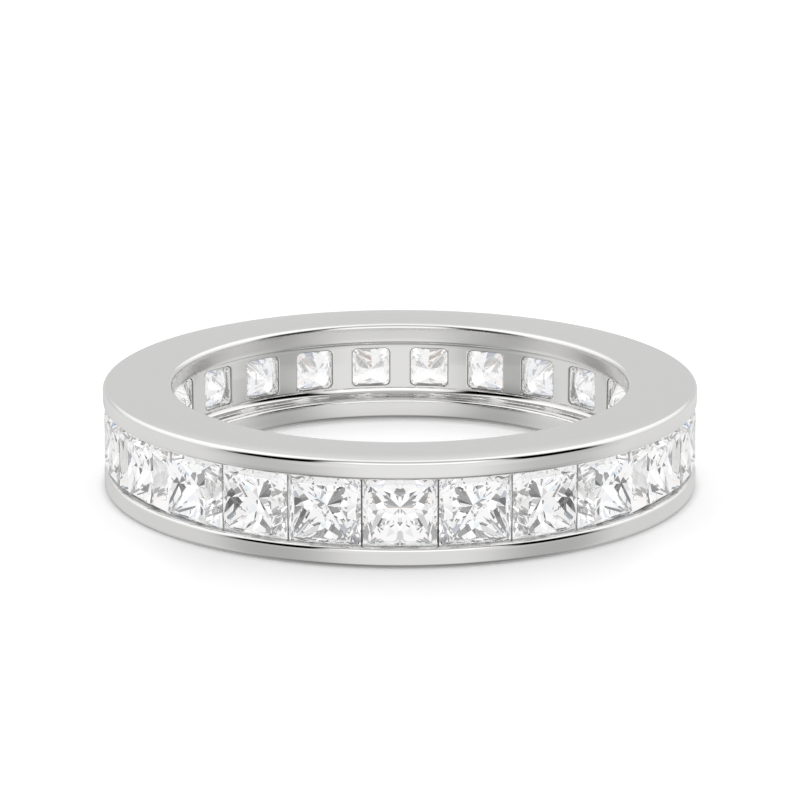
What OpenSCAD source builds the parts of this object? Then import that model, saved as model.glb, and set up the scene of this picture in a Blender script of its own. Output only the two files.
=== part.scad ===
// Channel set eternity band: a full circle of square stones held between two plain rails.
// The ring lies on its side. Its finger hole runs along Z and the lower rail stands on Z = 0.
// Stone 01 faces -Y and the others follow counterclockwise, seen from above.

/* [Band] */
// Inside diameter of the finger hole
finger_d = 16.5; // [16.3:0.1:16.9]
// Thickness of the band, from the finger hole to the outer faces of the rails
band_t = 2.5; // [2.46:0.02:2.6]
// Width of the band along the finger
band_w = 3.74; // [3.7:0.02:3.86]
// Rounding of the four corners of the band
edge_r = 0.16; // [0.1:0.02:0.2]

/* [Stones] */
// Number of stones in the circle
stone_count = 25; // [24:1:26]
// Gap between neighbouring stones at the lower edge of the girdle
stone_gap = 0.045; // [0.03:0.005:0.08]
// Depth of the stones' tables below the outer faces of the rails
table_drop = 0.05; // [0.04:0.01:0.1]
// Height of the crown, from the girdle to the table
crown_h = 0.49; // [0.44:0.01:0.5]
// Height of the straight girdle
girdle_h = 0.05; // [0.04:0.01:0.06]
// Depth of the pavilion, from the girdle to the point
pavilion_h = 1.5; // [1.44:0.01:1.52]
// Width of the table as a share of the stone's width
table_share = 0.735; // [0.7:0.005:0.76]

/* [Channel] */
// How far each rail laps over the edge of a stone
rail_lap = 0.08; // [0.06:0.01:0.1]
// Clearance between the metal and the stones
seat_gap = 0.03; // [0.02:0.005:0.035]
// Rounding of the edges of the channel's mouth
mouth_r = 0.04; // [0.02:0.01:0.06]
// Depth of the channel's floor below the outer faces of the rails
floor_depth = 1.12; // [1.1:0.01:1.16]

/* [Gallery] */
// Depth of the groove that runs round the inside of the band
gallery_depth = 0.72; // [0.66:0.02:0.74]
// Height of each inner rail, beside the groove
inner_rail_h = 0.76; // [0.72:0.02:0.78]
// Rounding of the inner rails' edges at the groove
inner_edge_r = 0.12; // [0.08:0.02:0.14]
// Hollow rounding along both sides of the groove's floor
gallery_r = 0.3; // [0.24:0.02:0.34]
// Width of the posts between the windows
post_w = 0.83; // [0.76:0.01:0.9]
// Height of the windows
window_h = 1.47; // [1.4:0.01:1.52]
// Rounding of the windows' corners
window_r = 0.2; // [0.14:0.02:0.24]

/* [Hidden] */
$fn = 96;
eps = 0.01;

bore_r = finger_d / 2;
rail_r = bore_r + band_t;
half_w = band_w / 2;
half_pitch = 180 / stone_count;

table_z = rail_r - table_drop;
girdle_top_z = table_z - crown_h;
girdle_low_z = girdle_top_z - girdle_h;
stone_half = girdle_low_z * tan(half_pitch) - stone_gap / 2;
table_half = stone_half * table_share;

mouth_half = stone_half - rail_lap;
gallery_floor_r = bore_r + gallery_depth;
gallery_half = half_w - inner_rail_h;
window_w = 2 * gallery_floor_r * tan(half_pitch) - post_w;

// Chevron rows of the pavilion, down the middle of each side from the girdle to the point.
// ACROSS is the distance from the stone's axis and DOWN the depth, both as shares of the whole.
ACROSS = 0;
DOWN = 1;
chevrons = [
    [0.80, 0.316],
    [0.58, 0.580],
    [0.34, 0.797],
];
// The narrow facets down the corners of the pavilion: how far down they are widest, as a share of
// the depth, and their half width there, as a share of half the stone's width
corner_facet_down = 0.5;
corner_facet_half = 0.05;
// Outward lift of the middle of each crown side, and its place between the table and the girdle
crown_lift = 0.03;
crown_mid_share = 0.55;

// Stations of the channel's section. The rails are round and the stones are straight, so a lip
// clears the corners of the stones, which lie farther from the axis than their middles.
crown_run = crown_h / (stone_half - table_half);
lip_r = norm([girdle_top_z + rail_lap * crown_run, mouth_half]) + seat_gap;
groove_r = norm([girdle_top_z, stone_half]) + seat_gap;
groove_half = stone_half + seat_gap;
seat_run = stone_half * (1 - chevrons[0][ACROSS]) / (pavilion_h * chevrons[0][DOWN]);
seat_r = girdle_low_z - seat_gap / seat_run;
floor_r = rail_r - floor_depth;
floor_half = stone_half + 2 * seat_gap - (girdle_low_z - floor_r) * seat_run;

function stone_name(i) = str("stone_", i < 10 ? "0" : "", i);
function quarter_turn(p, k) =
    k == 0 ? p : quarter_turn([-p[1], p[0], p[2]], k - 1);
function four_times(points) = [for (k = [0 : 3]) for (p = points) quarter_turn(p, k)];

// One quarter of the pavilion's points, seen from above: the corner, the chevron points down the
// middle of the side that follows it, and the two widest points of the corner's own facet.
function pavilion_quarter(half, depth) =
    let (
        ridge = half * (1 - corner_facet_down),
        side = half * corner_facet_half,
        z = -depth * corner_facet_down
    )
    concat(
        [[half, half, 0]],
        [for (c = chevrons) [0, half * c[ACROSS], -depth * c[DOWN]]],
        [[ridge + side, ridge - side, z], [ridge - side, ridge + side, z]]
    );
pavilion_quarter_points = len(pavilion_quarter(1, 1));
pavilion_tip = 4 * pavilion_quarter_points;
function pavilion_corner(k) = pavilion_quarter_points * (k % 4);
function pavilion_points(half, depth) =
    concat(four_times(pavilion_quarter(half, depth)), [[0, 0, -depth]]);

// The facets of one side of the pavilion, between the corners HERE and NEXT.
function pavilion_side(here, next) =
    let (rows = len(chevrons), last = here + rows, left = here + rows + 2, right = next + rows + 1)
    concat(
        [[here, here + 1, next]],
        [for (j = [1 : 1 : rows - 1]) [here, here + j + 1, here + j]],
        [for (j = [1 : 1 : rows - 1]) [next, here + j, here + j + 1]],
        [[here, left, last], [left, pavilion_tip, last]],
        [[next, last, right], [right, last, pavilion_tip]],
        [[here, here + rows + 1, pavilion_tip, left]]
    );
pavilion_faces = [
    for (k = [0 : 3])
        each pavilion_side(pavilion_corner(k), pavilion_corner(k + 1))
];

// One quarter of the crown's points: the girdle's upper corner, the middle of the side that
// follows it, lifted a little, and the corner of the table.
crown_mid_half = table_half + (stone_half - table_half) * crown_mid_share + crown_lift;
crown_mid_z = girdle_h + crown_h * (1 - crown_mid_share) + crown_lift;
crown_quarter = [
    [stone_half, stone_half, girdle_h],
    [0, crown_mid_half, crown_mid_z],
    [table_half, table_half, girdle_h + crown_h],
];
crown_start = pavilion_tip + 1;
function crown_corner(k) = crown_start + len(crown_quarter) * (k % 4);

// The girdle's facet and the four crown facets above it, on one side.
function crown_side(low_here, low_next, here, next) = [
    [low_here, low_next, next, here],
    [here, next, here + 1],
    [here, here + 1, here + 2],
    [next, next + 2, here + 1],
    [here + 2, here + 1, next + 2],
];
crown_faces = [
    for (k = [0 : 3])
        each crown_side(
            pavilion_corner(k), pavilion_corner(k + 1),
            crown_corner(k), crown_corner(k + 1)
        )
];
table_face = [for (k = [0 : 3]) crown_corner(k) + len(crown_quarter) - 1];
pavilion_top_face = [for (k = [0 : 3]) pavilion_corner(k)];

// The facets above are listed counterclockwise from outside, and polyhedron wants them clockwise.
function turned_over(faces) = [for (f = faces) [for (i = [len(f) - 1 : -1 : 0]) f[i]]];

// A square stone with its axis along Z and the lower edge of its girdle at Z = 0.
module square_stone() {
    polyhedron(
        concat(pavilion_points(stone_half, pavilion_h), four_times(crown_quarter)),
        turned_over(concat(pavilion_faces, crown_faces, [table_face]))
    );
}

// The seat cut for one stone's pavilion, a little larger than the pavilion all round.
module pavilion_seat() {
    grown = (stone_half + seat_gap) / stone_half;
    polyhedron(
        pavilion_points(stone_half * grown, pavilion_h * grown),
        turned_over(concat(pavilion_faces, [pavilion_top_face]))
    );
}

// A rectangle with round corners, centred on the origin.
module round_rectangle(width, height, radius) {
    square([width - 2 * radius, height], center = true);
    square([width, height - 2 * radius], center = true);
    for (x = [-1, 1], y = [-1, 1])
        translate([x * (width / 2 - radius), y * (height / 2 - radius)])
            circle(radius);
}

// The waste outside a rounded corner of the profile. OUT points from the metal to the corner.
module corner_waste(corner, radius, out) {
    centre = corner - radius * out;
    over = corner + eps * out;
    difference() {
        polygon([centre, [over[0], centre[1]], over, [centre[0], over[1]]]);
        translate(centre)
            circle(radius);
    }
}

// The gallery groove round the inside, with hollow roundings along its floor. Half of the
// rectangle is in the metal and half in the finger hole.
module gallery_void() {
    translate([bore_r, 0])
        round_rectangle(2 * gallery_depth, 2 * gallery_half, gallery_r);
}

// The channel for the stones: a mouth between the rails' lips, a groove for the girdles,
// seats that slope with the pavilions, and a flat floor.
module channel_void() {
    upper = [
        [rail_r + eps, mouth_half],
        [lip_r, mouth_half],
        [groove_r, groove_half],
        [seat_r, groove_half],
        [floor_r, floor_half],
    ];
    lower = [for (i = [len(upper) - 1 : -1 : 0]) [upper[i][0], -upper[i][1]]];
    polygon(concat(upper, lower));
}

// The band's section, with the radius along X and the middle of the band at Y = 0.
module band_section() {
    difference() {
        translate([bore_r, -half_w])
            square([band_t, band_w]);
        gallery_void();
        channel_void();
        for (side = [-1, 1]) {
            corner_waste([bore_r, side * half_w], edge_r, [-1, side]);
            corner_waste([rail_r, side * half_w], edge_r, [1, side]);
            corner_waste([rail_r, side * mouth_half], mouth_r, [1, -side]);
            corner_waste([bore_r, side * gallery_half], inner_edge_r, [-1, -side]);
        }
    }
}

// Carries its children from the Z axis to the place of stone i, with their +Z pointing outward.
module at_stone(i) {
    rotate([0, 0, 2 * half_pitch * (i - 1)])
        translate([0, 0, half_w])
            rotate([90, 0, 0])
                children();
}

// The ring of metal: two rails, the wall between them and a window behind each stone.
module band() {
    color("gainsboro")
        difference() {
            translate([0, 0, half_w])
                rotate_extrude()
                    band_section();
            for (i = [1 : stone_count])
                at_stone(i) {
                    translate([0, 0, bore_r])
                        linear_extrude(floor_r - bore_r + seat_gap)
                            round_rectangle(window_w, window_h, window_r);
                    translate([0, 0, girdle_low_z])
                        pavilion_seat();
                }
        }
}

module stone(i) {
    color("white", 0.6)
        at_stone(i)
            translate([0, 0, girdle_low_z])
                square_stone();
}

band();
for (i = [1 : stone_count]) stone(i);
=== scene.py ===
import math

import bpy
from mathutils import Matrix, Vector


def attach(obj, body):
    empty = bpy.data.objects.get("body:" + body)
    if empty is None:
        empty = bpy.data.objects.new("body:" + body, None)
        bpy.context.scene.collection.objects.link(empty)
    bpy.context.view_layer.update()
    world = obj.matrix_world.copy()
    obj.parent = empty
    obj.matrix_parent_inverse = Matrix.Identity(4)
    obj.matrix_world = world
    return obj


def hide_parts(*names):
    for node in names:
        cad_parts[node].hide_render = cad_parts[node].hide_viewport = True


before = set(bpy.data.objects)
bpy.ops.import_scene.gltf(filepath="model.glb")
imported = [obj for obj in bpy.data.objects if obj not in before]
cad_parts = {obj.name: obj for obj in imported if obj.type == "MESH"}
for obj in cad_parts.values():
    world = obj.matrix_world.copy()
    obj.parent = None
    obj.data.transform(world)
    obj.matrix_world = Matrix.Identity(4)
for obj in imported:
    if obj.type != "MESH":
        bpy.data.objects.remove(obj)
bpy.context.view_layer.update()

# Everything below is in millimetres and degrees, and becomes metres and radians where it is used.
MM = 0.001

# The band's section, as radii from the finger hole's axis and heights from its middle
BORE_R = 8.25
RAIL_R = 10.75
HALF_WIDTH = 1.87
GALLERY_FLOOR_R = 8.97
GALLERY_HALF = 1.11
CHANNEL_FLOOR_R = 9.63
EDGE_ROUND = 0.16
MOUTH_ROUND = 0.14
INNER_ROUND = 0.12
GALLERY_ROUND = 0.32

# The stones and what is cut for them
STONE_COUNT = 25
PITCH = 360 / STONE_COUNT
GIRDLE_LOW_R = 10.16
GIRDLE_TOP_R = 10.21
STONE_HALF = 1.261
SEAT_GAP = 0.03
RAIL_LAP = 0.08
CROWN_RUN = 1.466
SEAT_SLOPE = 0.532
MOUTH_HALF = STONE_HALF - RAIL_LAP
GROOVE_HALF = STONE_HALF + SEAT_GAP
LIP_R = math.hypot(GIRDLE_TOP_R + RAIL_LAP * CROWN_RUN, MOUTH_HALF) + SEAT_GAP
GROOVE_R = math.hypot(GIRDLE_TOP_R, STONE_HALF) + SEAT_GAP
SEAT_R = GIRDLE_LOW_R - SEAT_GAP / SEAT_SLOPE
FLOOR_HALF = STONE_HALF + 2 * SEAT_GAP - (GIRDLE_LOW_R - CHANNEL_FLOOR_R) * SEAT_SLOPE

WINDOW_WIDTH = 1.436
WINDOW_HEIGHT = 1.47
WINDOW_CORNER = 0.2
WINDOW_RIM_ROUND = 0.05

# Where the flat faces of the rails start to turn softly into their rounded edges
SIDE_FLAT_INNER = 8.9
SIDE_FLAT_OUTER = 9.75
RAIL_FLAT_LOW = 1.38
RAIL_FLAT_HIGH = 1.6
INNER_FLAT_LOW = 1.34
INNER_FLAT_HIGH = 1.6

# Steps of a sector's turn and of the roundings, and the angle above which an edge stays sharp
SECTOR_STEPS = 20
FINE_ROUND_STEPS = 8
ROUND_STEPS = 6
RIM_STEPS = 3
SHARP_ANGLE = 36
RIM_ANGLE = 50

# Distances below which points count as one, or as lying on a face
MERGE = 0.001
BISECT_MERGE = 0.0001
SECTOR_MERGE = 0.0005
ON_FACE = 0.004
SECTOR_END_ANGLE = 0.01

# The metal: polished, satin on the flat sides, and rougher under the stones, where painted shade
# darkens its colour
POLISHED_DARK = (0.835, 0.83, 0.82, 1)
POLISHED_LIGHT = (0.855, 0.85, 0.845, 1)
SATIN_GREY = (0.743, 0.738, 0.731, 1)
GROOVE_SHADE_GREY = (0.3, 0.295, 0.29, 1)
SATIN_SHARE = 0.4
POLISHED_ROUGHNESS = 0.03
CLOUD_ROUGHNESS = 0.03
GROOVE_ROUGHNESS = 0.45
INNER_ROUGHNESS = 0.16
POLISH_LINES = 9000.0
POLISH_CLOUDS = 900.0
POLISH_RELIEF = 0.01

# How much painted shade darkens the metal, and how much rougher it is, from each radius outward,
# within the width of the groove
GROOVE_SHADE_FROM = (
    (GALLERY_FLOOR_R + 0.006, 0.9),
    (GALLERY_FLOOR_R + WINDOW_RIM_ROUND, 0.0),
    (CHANNEL_FLOOR_R - 0.02, 1.0),
    (LIP_R - 0.02, 0.6),
    (RAIL_R - MOUTH_ROUND + 0.01, 0.0),
)

# The stones: light that has bounced often inside ends in one of two tones of painted glow, by facet
DIAMOND_BENDING = 2.417
DIAMOND_BOUNCES = 3
GLOW_LOW = (0.3, 0.3, 0.3, 1)
GLOW_HIGH = (0.97, 0.97, 0.97, 1)
GLOW_DRAW = (0.25, 0.45)
GIRDLE_GREY = (0.5, 0.5, 0.5, 1)
GIRDLE_MARGIN = 0.002

# How much of a stone's back shows as painted glow to the camera
BACK_GLOW_SHARE = 0.36

# The two tints of painted glow on the few facets that show fire, how few they are and how strongly
# they show
FIRE_BLUE = (0.3, 0.5, 0.95, 1)
FIRE_AMBER = (0.95, 0.6, 0.35, 1)
FIRE_FROM = 0.8
FIRE_INSIDE = 0.12
FIRE_BEHIND = 0.35

# The floor, and the painted light on it that stands in for what the metal throws on it
FLOOR_SIZE = 4
FLOOR_DROP = 0.02
CARD_WHITE = (0.93, 0.93, 0.93, 1)
PAINTED_GLOW_IN_FRONT = (0.23, 0.23, 0.23, 1)
PAINTED_GLOW_BESIDE = (0.31, 0.31, 0.31, 1)
PAINTED_GLOW_IN_HOLE = (0.33, 0.33, 0.33, 1)
PAINTED_GLOW_UNDER_RING = (0.06, 0.06, 0.06, 1)

# How far the studio is turned about the ring, seen from above, in degrees
STUDIO_TURN = 6.0

# How far the colours split at the flags' edges, in degrees
FRINGE = 0.35

# The studio's tones, from which its lights and shades are worked out
WALL_TONE = 0.785
BACKDROP_SHADE = 0.07
CEILING_TONE = 0.98
ZENITH_GAIN = 0.13
GROUND_TONE = 0.91

# Lights and gaps in the sky: the gain, where each starts and ends in azimuth from the front, and
# where it starts and ends in elevation. No azimuth is under 0, so ALL_FRONT is always past.
ALL_FRONT = (-2.0, -1.0)
SKY_PATCHES = (
    (0.17, (74.0, 86.0), (150.0, 178.0), (16.0, 34.0), (64.0, 80.0)),
    (0.34, ALL_FRONT, (21.0, 31.0), (0.0, 12.0), (30.0, 46.0)),
    (-0.52, ALL_FRONT, (40.0, 70.0), (38.0, 54.0), (76.0, 86.0)),
)

# The camera, as worked out from the photo
SENSOR_WIDTH = 36
LENS = 158.2
CAMERA_PLACE = (0, -123.27, 36.305)
CAMERA_TILT = 15.139


# Modelling, with Blender's own tools

def deselect_all():
    bpy.ops.object.select_all(action="DESELECT")


def pick(piece):
    deselect_all()
    piece.select_set(True)
    bpy.context.view_layer.objects.active = piece


class Editing:
    """Edit mode on one piece, with nothing selected at first."""

    def __init__(self, piece):
        self.piece = piece

    def __enter__(self):
        pick(self.piece)
        bpy.ops.object.mode_set(mode="EDIT")
        bpy.ops.mesh.select_mode(type="VERT")
        bpy.ops.mesh.select_all(action="DESELECT")
        return self

    def __exit__(self, *problem):
        bpy.ops.object.mode_set(mode="OBJECT")

    def select(self, kind, wanted):
        """Selects the vertices, edges or polygons for which wanted(item) is true."""
        modes = {"vertices": "VERT", "edges": "EDGE", "polygons": "FACE"}
        bpy.ops.mesh.select_mode(type=modes[kind])
        bpy.ops.mesh.select_all(action="DESELECT")
        bpy.ops.object.mode_set(mode="OBJECT")
        mesh = self.piece.data
        for item in getattr(mesh, kind):
            item.select = bool(wanted(item))
        bpy.ops.object.mode_set(mode="EDIT")


def around(radius, azimuth, height):
    """A point in metres. Azimuth 0 is -Y, and height is from the middle of the band."""
    turn = math.radians(azimuth)
    return Vector((radius * math.sin(turn), -radius * math.cos(turn), height + HALF_WIDTH)) * MM


def azimuth_of(point):
    return math.degrees(math.atan2(point.x, -point.y))


def radius_of(point):
    return math.hypot(point.x, point.y) / MM


def draw_outline(name, points):
    """A closed outline, drawn by extruding one vertex from point to point, filled with one face."""
    bpy.ops.mesh.primitive_plane_add(size=MM, location=points[0])
    piece = bpy.context.active_object
    piece.name = name
    bpy.ops.object.transform_apply(location=True, rotation=True, scale=True)
    with Editing(piece):
        bpy.ops.mesh.select_all(action="SELECT")
        bpy.ops.mesh.merge(type="CENTER")
        for here, following in zip(points, points[1:]):
            bpy.ops.mesh.extrude_region_move(TRANSFORM_OT_translate={"value": following - here})
        bpy.ops.mesh.select_all(action="SELECT")
        bpy.ops.mesh.edge_face_add()
    return piece


def round_corners(edit, corners, radius, segments):
    """Rounds the outline's corners at these points."""
    edit.select("vertices", lambda v: any((v.co - c).length < MERGE * MM for c in corners))
    bpy.ops.mesh.bevel(
        offset=radius * MM, offset_type="OFFSET", segments=segments, affect="VERTICES",
        clamp_overlap=False,
    )


def cut_away(piece, cutter):
    """Takes the cutter's solid out of the piece and removes the cutter."""
    change = piece.modifiers.new("cut", "BOOLEAN")
    change.operation = "DIFFERENCE"
    change.solver = "EXACT"
    change.object = cutter
    pick(piece)
    bpy.ops.object.modifier_apply(modifier=change.name)
    bpy.data.objects.remove(cutter)


def band_sector():
    """One stone's share of the band, closed at both ends: the section, spun round the axis."""
    start = -PITCH / 2
    upper = [
        (BORE_R, GALLERY_HALF), (BORE_R, INNER_FLAT_LOW), (BORE_R, INNER_FLAT_HIGH),
        (BORE_R, HALF_WIDTH), (SIDE_FLAT_INNER, HALF_WIDTH), (SIDE_FLAT_OUTER, HALF_WIDTH),
        (RAIL_R, HALF_WIDTH), (RAIL_R, RAIL_FLAT_HIGH), (RAIL_R, RAIL_FLAT_LOW),
        (RAIL_R, MOUTH_HALF), (LIP_R, MOUTH_HALF), (GROOVE_R, GROOVE_HALF),
        (SEAT_R, GROOVE_HALF), (CHANNEL_FLOOR_R, FLOOR_HALF),
    ]
    outline = [(GALLERY_FLOOR_R, GALLERY_HALF)] + upper
    outline += [(radius, -height) for radius, height in reversed(outline)]
    sector = draw_outline("band_polished", [around(r, start, h) for r, h in outline])
    both = (-1, 1)
    edge_corners = [around(r, start, s * HALF_WIDTH) for r in (BORE_R, RAIL_R) for s in both]
    mouth_corners = [around(RAIL_R, start, s * MOUTH_HALF) for s in both]
    inner_corners = [around(BORE_R, start, s * GALLERY_HALF) for s in both]
    gallery_corners = [around(GALLERY_FLOOR_R, start, s * GALLERY_HALF) for s in both]
    with Editing(sector) as edit:
        round_corners(edit, edge_corners, EDGE_ROUND, FINE_ROUND_STEPS)
        round_corners(edit, mouth_corners, MOUTH_ROUND, ROUND_STEPS)
        round_corners(edit, inner_corners, INNER_ROUND, ROUND_STEPS)
        round_corners(edit, gallery_corners, GALLERY_ROUND, FINE_ROUND_STEPS)
        bpy.ops.mesh.select_all(action="SELECT")
        bpy.ops.mesh.delete(type="ONLY_FACE")
        bpy.ops.mesh.select_all(action="SELECT")
        bpy.ops.mesh.spin(steps=SECTOR_STEPS, angle=-math.radians(PITCH), axis=(0, 0, 1))
        for end in both:
            edit.select("vertices", lambda v: at_sector_end(v.co, end))
            bpy.ops.mesh.edge_face_add()
        bpy.ops.mesh.select_all(action="SELECT")
        bpy.ops.mesh.normals_make_consistent(inside=False)
    return sector


def at_sector_end(point, end):
    return abs(azimuth_of(point) - end * PITCH / 2) < SECTOR_END_ANGLE


def window_cutter():
    """A block with rounded edges, the size of the window behind the front stone."""
    inner, outer = BORE_R, CHANNEL_FLOOR_R + SEAT_GAP
    bpy.ops.mesh.primitive_cube_add(
        size=1, location=around((inner + outer) / 2, 0, 0),
        scale=Vector((WINDOW_WIDTH, outer - inner, WINDOW_HEIGHT)) * MM,
    )
    cutter = bpy.context.active_object
    bpy.ops.object.transform_apply(location=True, rotation=True, scale=True)
    with Editing(cutter) as edit:
        vertices = cutter.data.vertices
        edit.select("edges", lambda e: along_y(vertices, e))
        bpy.ops.mesh.bevel(offset=WINDOW_CORNER * MM, segments=FINE_ROUND_STEPS, affect="EDGES")
    return cutter


def along_y(vertices, edge):
    step = vertices[edge.vertices[1]].co - vertices[edge.vertices[0]].co
    return abs(step.normalized().y) > 0.99


def seat_cutter():
    """The front stone's own pavilion, a little larger all round, which cuts its seat."""
    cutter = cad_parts["stone_01"].copy()
    cutter.data = cutter.data.copy()
    bpy.context.collection.objects.link(cutter)
    middle = around(GIRDLE_LOW_R, 0, 0)
    top = around(GIRDLE_LOW_R - SEAT_GAP, 0, 0)
    grown = GROOVE_HALF / STONE_HALF
    with Editing(cutter):
        bpy.ops.mesh.select_all(action="SELECT")
        bpy.ops.mesh.remove_doubles(threshold=MERGE * MM)
        bpy.ops.mesh.bisect(
            plane_co=top, plane_no=(0, -1, 0), use_fill=True, clear_outer=True,
            threshold=BISECT_MERGE * MM,
        )
        bpy.ops.mesh.select_all(action="SELECT")
        bpy.ops.transform.resize(value=(grown, grown, grown), center_override=middle)
        bpy.ops.mesh.normals_make_consistent(inside=False)
    return cutter


def polished_band():
    """The whole band of metal: one sector cut for its window and seat, then copied round."""
    band = band_sector()
    cut_away(band, window_cutter())
    cut_away(band, seat_cutter())
    with Editing(band) as edit:
        vertices = band.data.vertices
        sides = {}
        for face in band.data.polygons:
            for key in face.edge_keys:
                sides.setdefault(key, []).append(face.normal.copy())
        edit.select("edges", lambda e: is_window_rim(vertices, e, sides))
        bpy.ops.mesh.bevel(
            offset=WINDOW_RIM_ROUND * MM, segments=RIM_STEPS, affect="EDGES", loop_slide=True,
            clamp_overlap=False,
        )
        for end in (-1, 1):
            edit.select("polygons", lambda f: is_cap(vertices, f, end))
            bpy.ops.mesh.delete(type="FACE")
        bpy.ops.mesh.select_all(action="SELECT")
        bpy.ops.mesh.spin(
            steps=STONE_COUNT - 1, dupli=True, axis=(0, 0, 1),
            angle=math.radians(360 - PITCH),
        )
        bpy.ops.mesh.select_all(action="SELECT")
        bpy.ops.mesh.remove_doubles(threshold=SECTOR_MERGE * MM)
    pick(band)
    bpy.ops.object.shade_smooth_by_angle(angle=math.radians(SHARP_ANGLE))
    return band


def is_cap(vertices, face, end):
    return all(at_sector_end(vertices[i].co, end) for i in face.vertices)


def is_window_rim(vertices, edge, sides):
    """True for the edges where the window meets the gallery's floor."""
    ends = [vertices[i].co for i in edge.vertices]
    normals = sides[edge.key]
    on_floor = all(abs(radius_of(end) - GALLERY_FLOOR_R) < ON_FACE for end in ends)
    bent = len(normals) == 2 and normals[0].angle(normals[1]) > math.radians(RIM_ANGLE)
    return on_floor and bent


band = polished_band()
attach(band, "root")
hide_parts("band")


# Materials

class Value:
    """A number in a node tree. Sums and products of values add the Math nodes for them."""

    def __init__(self, tree, socket):
        self.tree = tree
        self.socket = socket

    def math(self, operation, *others):
        return self.tree.node("ShaderNodeMath", {"operation": operation}, self, *others)[0]

    def __add__(self, other):
        return self.math("ADD", other)

    __radd__ = __add__

    def __mul__(self, other):
        return self.math("MULTIPLY", other)

    __rmul__ = __mul__

    def __sub__(self, other):
        return self.math("SUBTRACT", other)

    def __rsub__(self, other):
        return self.tree.node("ShaderNodeMath", {"operation": "SUBTRACT"}, other, self)[0]

    def __truediv__(self, other):
        return self.math("DIVIDE", other)


class Outputs:
    """A node's outputs, by name or number, as values."""

    def __init__(self, tree, node):
        self.tree = tree
        self.node = node

    def __getitem__(self, key):
        return Value(self.tree, self.node.outputs[key])


class Tree:
    """A node tree that is written as expressions."""

    def __init__(self, holder):
        holder.use_nodes = True
        self.nodes = holder.node_tree.nodes
        self.links = holder.node_tree.links
        self.nodes.clear()

    def node(self, kind, settings=None, *numbered, **named):
        """Adds a node: first its settings, then its sockets by number and by name."""
        made = self.nodes.new(kind)
        for key, value in (settings or {}).items():
            setattr(made, key, value)
        by_name = {key.replace("_", " "): value for key, value in named.items()}
        for key, value in [*enumerate(numbered), *by_name.items()]:
            self.feed(made.inputs[key], value)
        return Outputs(self, made)

    def feed(self, socket, value):
        if isinstance(value, Value):
            self.links.new(value.socket, socket)
        else:
            socket.default_value = value


def smooth_step(tree, value, low, high):
    """0 below low, 1 above high, and smooth between them. High may be the lower one."""
    settings = {"interpolation_type": "SMOOTHSTEP"}
    return tree.node("ShaderNodeMapRange", settings, value, low, high, 0.0, 1.0)[0]


def between(tree, value, rise, fall):
    """1 from rise's end to fall's start, 0 outside both, and smooth between them."""
    return smooth_step(tree, value, *rise) * smooth_step(tree, value, *reversed(fall))


def mix_colour(tree, share, first, second):
    mixed = tree.node("ShaderNodeMix", {"data_type": "RGBA"}, share)
    tree.feed(mixed.node.inputs[6], first)
    tree.feed(mixed.node.inputs[7], second)
    return mixed[2]


def mix_shader(tree, share, first, second):
    return tree.node("ShaderNodeMixShader", None, share, first, second)[0]


def light_path(tree, kind):
    return tree.node("ShaderNodeLightPath")[kind]


def place_on(tree):
    return tree.node("ShaderNodeTexCoord")["Object"]


def split(tree, vector):
    """The X, Y and Z of a vector."""
    parts = tree.node("ShaderNodeSeparateXYZ", None, vector)
    return parts[0], parts[1], parts[2]


def across_the_band(tree, place):
    """A point's distance from the finger hole's axis and from the middle of the band's width."""
    x, y, z = split(tree, place)
    radius = (x * x + y * y).math("SQRT") / MM
    from_middle = (z / MM - HALF_WIDTH).math("ABSOLUTE")
    return radius, from_middle


def groove_shade(tree, radius, from_middle):
    """How much painted shade darkens the metal, which is rougher there too: 1 under the stones,
    less on the lips and the windows' rims.
    """
    share = 0.0
    before = 0.0
    for start, level in GROOVE_SHADE_FROM:
        share = share + radius.math("GREATER_THAN", start) * (level - before)
        before = level
    return share * from_middle.math("LESS_THAN", GROOVE_HALF + 0.02)


def white_gold():
    """Rhodium plated: mirror polished, satin on the flat sides, and rougher under the stones, with
    painted shade there.
    """
    material = bpy.data.materials.new("mirror_white_gold")
    tree = Tree(material)
    place = place_on(tree)
    lines = tree.node(
        "ShaderNodeTexNoise", None, Vector=place, Scale=POLISH_LINES, Detail=4.0
    )["Fac"]
    cloud = tree.node(
        "ShaderNodeTexNoise", None, Vector=place, Scale=POLISH_CLOUDS, Detail=2.0
    )["Fac"]
    bump = tree.node(
        "ShaderNodeBump", None, Strength=0.02, Distance=POLISH_RELIEF * MM, Height=lines
    )["Normal"]
    radius, from_middle = across_the_band(tree, place)
    # Painted shade: the metal is darkened in the groove under the stones, on the lips and at the
    # windows' rims
    groove_shade_share = groove_shade(tree, radius, from_middle)
    satin = smooth_step(tree, from_middle, HALF_WIDTH - 0.012, HALF_WIDTH - 0.002)
    inner = smooth_step(tree, radius, BORE_R + 0.03, BORE_R + 0.01)
    inner = inner * smooth_step(tree, from_middle, 1.2, 1.3)
    colour = mix_colour(tree, cloud, POLISHED_DARK, POLISHED_LIGHT)
    colour = mix_colour(tree, satin, colour, SATIN_GREY)
    colour = mix_colour(tree, groove_shade_share, colour, GROOVE_SHADE_GREY)
    roughness = POLISHED_ROUGHNESS + CLOUD_ROUGHNESS * cloud
    roughness = roughness + GROOVE_ROUGHNESS * groove_shade_share + INNER_ROUGHNESS * inner
    surface = tree.node(
        "ShaderNodeBsdfPrincipled", None,
        Base_Color=colour, Metallic=1 - SATIN_SHARE * satin, Roughness=roughness, Normal=bump,
    )["BSDF"]
    tree.node("ShaderNodeOutputMaterial", None, Surface=surface)
    return material


def up_the_stone(tree):
    """How far from the finger hole's axis a point lies, measured along its stone's own axis."""
    x, y, _ = split(tree, place_on(tree))
    turn = x.math("ARCTAN2", -1 * y) / math.radians(PITCH)
    off_axis = (turn - turn.math("ROUND")) * math.radians(PITCH)
    return (x * x + y * y).math("SQRT") * off_axis.math("COSINE") / MM


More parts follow.
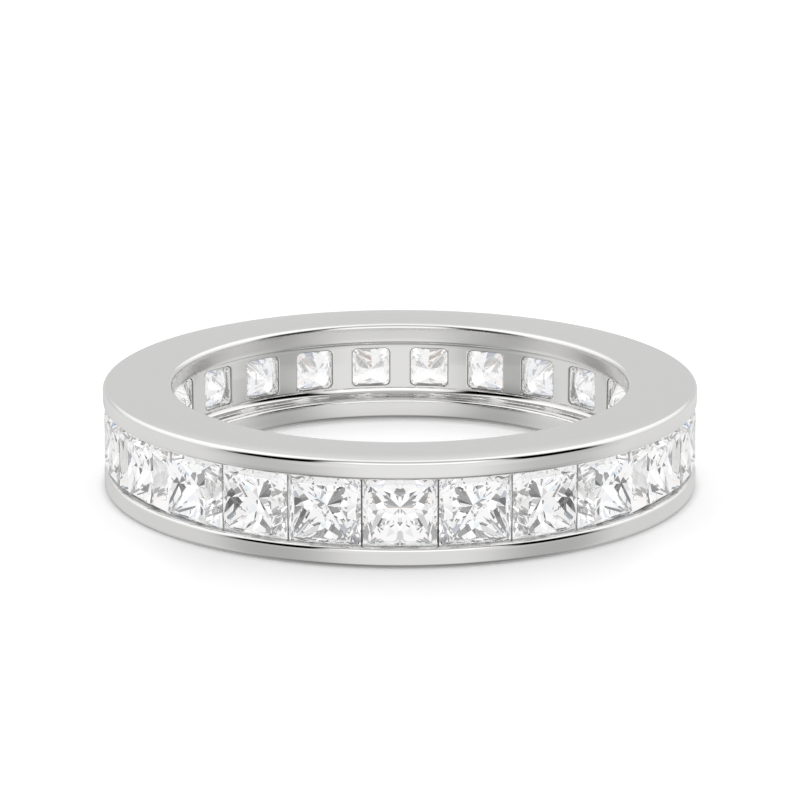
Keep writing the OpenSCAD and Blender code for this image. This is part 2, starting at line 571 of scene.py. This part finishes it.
def facet_chance(tree):
    """A number and a colour of its own for each facet, the same on the ring's left and right."""
    facing = tree.node("ShaderNodeNewGeometry")["True Normal"]
    facing = tree.node("ShaderNodeVectorMath", {"operation": "ABSOLUTE"}, facing)[0]
    fine = (0.01, 0.01, 0.01)
    facing = tree.node("ShaderNodeVectorMath", {"operation": "SNAP"}, facing, fine)[0]
    chance = tree.node("ShaderNodeTexWhiteNoise", None, Vector=facing)
    return chance["Value"], chance["Color"]


def glow(tree, colour):
    return tree.node("ShaderNodeEmission", None, Color=colour, Strength=1.0)["Emission"]


def with_fire(tree, light, draw, strength):
    """The light with a few facets turned to a painted blue or amber glow, drawn facet by facet."""
    parts = tree.node("ShaderNodeSeparateColor", None, draw)
    picked = parts[1].math("GREATER_THAN", FIRE_FROM) * strength
    hue = parts[2].math("GREATER_THAN", 0.5)
    tinted = mix_shader(tree, hue, glow(tree, FIRE_BLUE), glow(tree, FIRE_AMBER))
    return mix_shader(tree, picked, light, tinted)


def diamond():
    """Clear stone that bends light strongly, with a frosted girdle, and painted glow on its back
    and where its light is spent.
    """
    material = bpy.data.materials.new("clear_diamond")
    tree = Tree(material)
    glass = tree.node(
        "ShaderNodeBsdfGlass", None, IOR=DIAMOND_BENDING, Roughness=0.0, Color=(1, 1, 1, 1)
    )["BSDF"]
    height = up_the_stone(tree)
    crown = height.math("GREATER_THAN", GIRDLE_TOP_R - GIRDLE_MARGIN)
    girdle = height.math("GREATER_THAN", GIRDLE_LOW_R + GIRDLE_MARGIN) * (1 - crown)
    frosted = tree.node("ShaderNodeBsdfDiffuse", None, Color=GIRDLE_GREY)["BSDF"]
    chance, draw = facet_chance(tree)
    # Seen through a window, part of each facet of the stone's back shows as painted glow
    below = height.math("LESS_THAN", GIRDLE_LOW_R)
    straight = light_path(tree, "Is Camera Ray") * below * BACK_GLOW_SHARE
    behind = with_fire(tree, glow(tree, GLOW_HIGH), draw, FIRE_BEHIND)
    painted_back_glow = mix_shader(tree, straight, glass, behind)
    stone = mix_shader(tree, girdle, painted_back_glow, frosted)
    # Light that has bounced this often inside is taken as having left toward the studio, and is
    # painted as glow
    spent = light_path(tree, "Ray Depth").math("GREATER_THAN", DIAMOND_BOUNCES)
    bright_share = smooth_step(tree, chance, *GLOW_DRAW).math("MAXIMUM", crown)
    left = mix_shader(tree, bright_share, glow(tree, GLOW_LOW), glow(tree, GLOW_HIGH))
    left = with_fire(tree, left, draw, FIRE_INSIDE)
    surface = mix_shader(tree, spent, stone, left)
    tree.node("ShaderNodeOutputMaterial", None, Surface=surface)
    return material


def floor_white():
    """Matt white card with a painted glow. In the metal's reflections it only darkens the studio
    near the ring, a painted shadow.
    """
    material = bpy.data.materials.new("pale_floor")
    tree = Tree(material)
    place = place_on(tree)
    radius = tree.node("ShaderNodeVectorMath", {"operation": "LENGTH"}, place)["Value"] / MM
    hole = smooth_step(tree, radius, 9.6, 9.4)
    # Painted light: a glow that stands in for the light the metal throws on the floor, most of all
    # inside the finger hole
    outside_ring = smooth_step(tree, radius, 10.6, 11.1)
    lit = outside_ring.math("MAXIMUM", smooth_step(tree, radius, 8.25, 7.6))
    across = split(tree, place)[0].math("ABSOLUTE") / MM
    beside = smooth_step(tree, across, 6.5, 9.5)
    painted_glow = mix_colour(tree, beside, PAINTED_GLOW_IN_FRONT, PAINTED_GLOW_BESIDE)
    painted_glow = mix_colour(tree, hole, painted_glow, PAINTED_GLOW_IN_HOLE)
    # Under the ring's edge the painted glow dims to a painted shadow
    painted_glow = mix_colour(tree, lit, PAINTED_GLOW_UNDER_RING, painted_glow)
    card = tree.node(
        "ShaderNodeBsdfPrincipled", None, Base_Color=CARD_WHITE, Roughness=1.0,
        Specular_IOR_Level=0.0, Emission_Color=painted_glow, Emission_Strength=1.0,
    )["BSDF"]
    # How much painted shadow the floor lays on what the metal mirrors, outside the ring and inside
    # it
    outside = 0.08 * smooth_step(tree, radius, 22.0, 11.0)
    outside = outside + 0.1 * smooth_step(tree, radius, 11.0, 10.72)
    inside = 0.12 - 0.08 * between(tree, radius, (4.6, 5.2), (6.6, 7.2))
    inside = inside - 0.08 * smooth_step(tree, radius, 3.6, 2.8)
    inside = inside + 0.1 * smooth_step(tree, radius, 7.8, 8.3)
    shadow = outside * (1 - hole) + inside * hole
    clear = tree.node("ShaderNodeBsdfTransparent", None, Color=(1, 1, 1, 1))["BSDF"]
    dark = tree.node("ShaderNodeBsdfTransparent", None, Color=(0, 0, 0, 1))["BSDF"]
    mirrored = mix_shader(tree, shadow, clear, dark)
    surface = mix_shader(tree, light_path(tree, "Is Glossy Ray"), card, mirrored)
    tree.node("ShaderNodeOutputMaterial", None, Surface=surface)
    return material


band.data.materials.clear()
band.data.materials.append(white_gold())
clear_stone = diamond()
for number in range(1, STONE_COUNT + 1):
    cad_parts[f"stone_{number:02d}"].material_slots[0].material = clear_stone

# Floor, light and camera
bpy.ops.mesh.primitive_plane_add(size=FLOOR_SIZE, location=(0, 0, -FLOOR_DROP * MM))
floor = bpy.context.active_object
floor.name = "floor"
floor.data.materials.append(floor_white())
floor.visible_transmission = False


def sky_tone(tree, side, height):
    """The wall, the backdrop that the flat faces mirror, the ceiling, and the lights on them."""
    behind = smooth_step(tree, side, 130.0, 152.0)
    ceiling = smooth_step(tree, height, 6.0, 22.0) * (1 - behind)
    ceiling = ceiling + smooth_step(tree, height, 16.5, 23.5) * behind
    low_sky = WALL_TONE - BACKDROP_SHADE * behind
    high_sky = CEILING_TONE + ZENITH_GAIN * smooth_step(tree, height, 30.0, 75.0)
    sky = low_sky + (high_sky - low_sky) * ceiling
    # The side lights, the front light, and the gap above the front light
    for gain, rise, fall, low, high in SKY_PATCHES:
        sky = sky + gain * between(tree, side, rise, fall) * between(tree, height, low, high)
    return sky


def ground_tone(tree, side, height, through):
    """The ground round the ring, darker to the sides and behind, and dark straight below."""
    near_horizon = smooth_step(tree, height, -15.75, -15.45)
    swing = 6.0 * near_horizon * smooth_step(tree, side, 100.0, 80.0)
    dip = side - swing
    ground = GROUND_TONE - 0.32 * between(tree, dip, (14.0, 52.0), (60.0, 90.0))
    ground = ground - 0.1 * smooth_step(tree, dip, 60.0, 90.0)
    ground = ground - 0.05 * smooth_step(tree, side, 140.0, 160.0)
    ground = ground - 0.09 * smooth_step(tree, side, 162.0, 172.0)
    beside_low = 0.06 * between(tree, side, (24.0, 44.0), (68.0, 88.0))
    ground = ground - beside_low * smooth_step(tree, height, -16.5, -17.1)
    return ground * (1 - 0.55 * (1 - through) * smooth_step(tree, height, -35.0, -62.0))


def dark_flag(tree, side, height):
    """The dark flags on both sides of the camera, between the front and side lights."""
    slant = height + 0.8 * (side - 50.0)
    flag = between(tree, side, (31.0, 41.0), (66.0, 82.0))
    flag = flag * between(tree, slant, (-20.0, -6.0), (42.0, 64.0))
    return flag * smooth_step(tree, height, -13.5, -5.0)


def studio_light():
    """A soft white studio: side and front lights, a dark flag between them, a pale backdrop."""
    world = bpy.data.worlds.new("studio")
    bpy.context.scene.world = world
    tree = Tree(world)
    x, y, z = split(tree, tree.node("ShaderNodeTexCoord")["Generated"])
    height = z.math("ARCSINE") * math.degrees(1)
    through = light_path(tree, "Is Transmission Ray")
    # The metal sees the studio turned a little about the ring, and the stones see it straight
    azimuth = x.math("ARCTAN2", -1 * y) * math.degrees(1)
    turned = (azimuth - STUDIO_TURN * (1 - through)).math("ABSOLUTE")
    side = 180 - (180 - turned).math("ABSOLUTE")
    above = smooth_step(tree, height, -10.0, 4.0)
    sky = sky_tone(tree, side, height)
    ground = ground_tone(tree, side, height, through)
    bright = (ground + (sky - ground) * above) * (1 - dark_flag(tree, side, height))
    # Through the stones the flags look larger, with the faint colours that cut stones give to edges
    tall = 0.8 * through * between(tree, height, (-45.0, -38.0), (30.0, 36.0))
    bright = bright * (1 + 0.2 * through)
    bands = [
        1 - tall * between(tree, side, (26.5 + shift, 28.5 + shift), (70.0 + shift, 72.5 + shift))
        for shift in (-FRINGE, 0.0, FRINGE)
    ]
    colour = tree.node("ShaderNodeCombineColor", None, *bands)["Color"]
    light = tree.node("ShaderNodeBackground", None, Color=colour, Strength=bright)["Background"]
    tree.node("ShaderNodeOutputWorld", None, Surface=light)


studio_light()

camera_data = bpy.data.cameras.new("camera")
camera = bpy.data.objects.new("camera", camera_data)
bpy.context.scene.collection.objects.link(camera)
camera_data.sensor_width = SENSOR_WIDTH
camera_data.lens = LENS
camera_data.clip_start = 0.001
camera_data.clip_end = 10
camera.location = Vector(CAMERA_PLACE) * MM
camera.rotation_euler = (math.radians(90 - CAMERA_TILT), 0, 0)
scene = bpy.context.scene
scene.camera = camera
scene.view_settings.view_transform = "Standard"
scene.cycles.max_bounces = 24
scene.cycles.transmission_bounces = 24
scene.cycles.glossy_bounces = 4
scene.cycles.diffuse_bounces = 4
